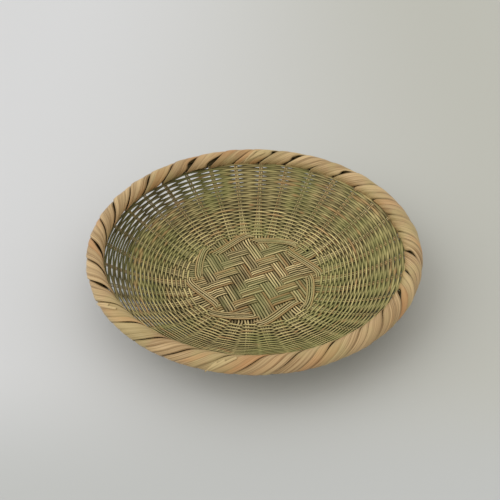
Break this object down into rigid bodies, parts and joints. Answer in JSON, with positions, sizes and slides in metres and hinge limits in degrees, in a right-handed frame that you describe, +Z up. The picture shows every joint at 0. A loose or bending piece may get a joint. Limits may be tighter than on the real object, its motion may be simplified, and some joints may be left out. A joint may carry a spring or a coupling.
{
  "type": "bamboo draining basket",
  "caption": "Shallow round woven bamboo basket for draining and serving, with a twill floor, ribbed open-weave wall and a rolled rim bound with a wide strip.",
  "frame": {"origin": "centre of the four low floats of floor tie b that the basket stands on, level with their undersides", "axes": "+Z up through the open mouth, along the bowl's axis; +X to the right and +Y away from the viewer of the picture"},
  "size_m": [0.2994, 0.2994, 0.0493],
  "materials": {
    "bamboo_floor": "satin split bamboo, khaki green",
    "bamboo_weft": "satin split bamboo, olive green",
    "bamboo_tie": "satin split bamboo, tan",
    "bamboo_rim": "satin split bamboo strip, pale tan with fine grain",
    "bamboo_hoop": "split bamboo lath, hidden in the rim"
  },
  "bodies": {
    "root": {"band_a_1": "bamboo_floor", "band_a_2": "bamboo_floor", "band_a_3": "bamboo_floor", "band_a_4": "bamboo_floor", "band_a_5": "bamboo_floor", "band_a_6": "bamboo_floor", "band_a_7": "bamboo_floor", "band_a_8": "bamboo_floor", "band_b_1": "bamboo_floor", "band_b_2": "bamboo_floor", "band_b_3": "bamboo_floor", "band_b_4": "bamboo_floor", "band_b_5": "bamboo_floor", "band_b_6": "bamboo_floor", "band_b_7": "bamboo_floor", "band_b_8": "bamboo_floor", "floor_tie_a": "bamboo_tie", "floor_tie_b": "bamboo_tie", "weft_a_1": "bamboo_weft", "weft_a_2": "bamboo_weft", "weft_a_3": "bamboo_weft", "weft_a_4": "bamboo_weft", "weft_a_5": "bamboo_weft", "weft_a_6": "bamboo_weft", "weft_a_7": "bamboo_weft", "weft_a_8": "bamboo_weft", "weft_a_9": "bamboo_weft", "weft_a_10": "bamboo_weft", "weft_b_1": "bamboo_weft", "weft_b_2": "bamboo_weft", "weft_b_3": "bamboo_weft", "weft_b_4": "bamboo_weft", "weft_b_5": "bamboo_weft", "weft_b_6": "bamboo_weft", "weft_b_7": "bamboo_weft", "weft_b_8": "bamboo_weft", "weft_b_9": "bamboo_weft", "weft_b_10": "bamboo_weft", "rim_hoop_inner": "bamboo_hoop", "rim_hoop_outer": "bamboo_hoop", "rim_filler": "bamboo_hoop", "rim_wrap_1": "bamboo_rim", "rim_wrap_2": "bamboo_rim", "rim_wrap_3": "bamboo_rim", "rim_wrap_4": "bamboo_rim"}
  },
  "joints": []
}
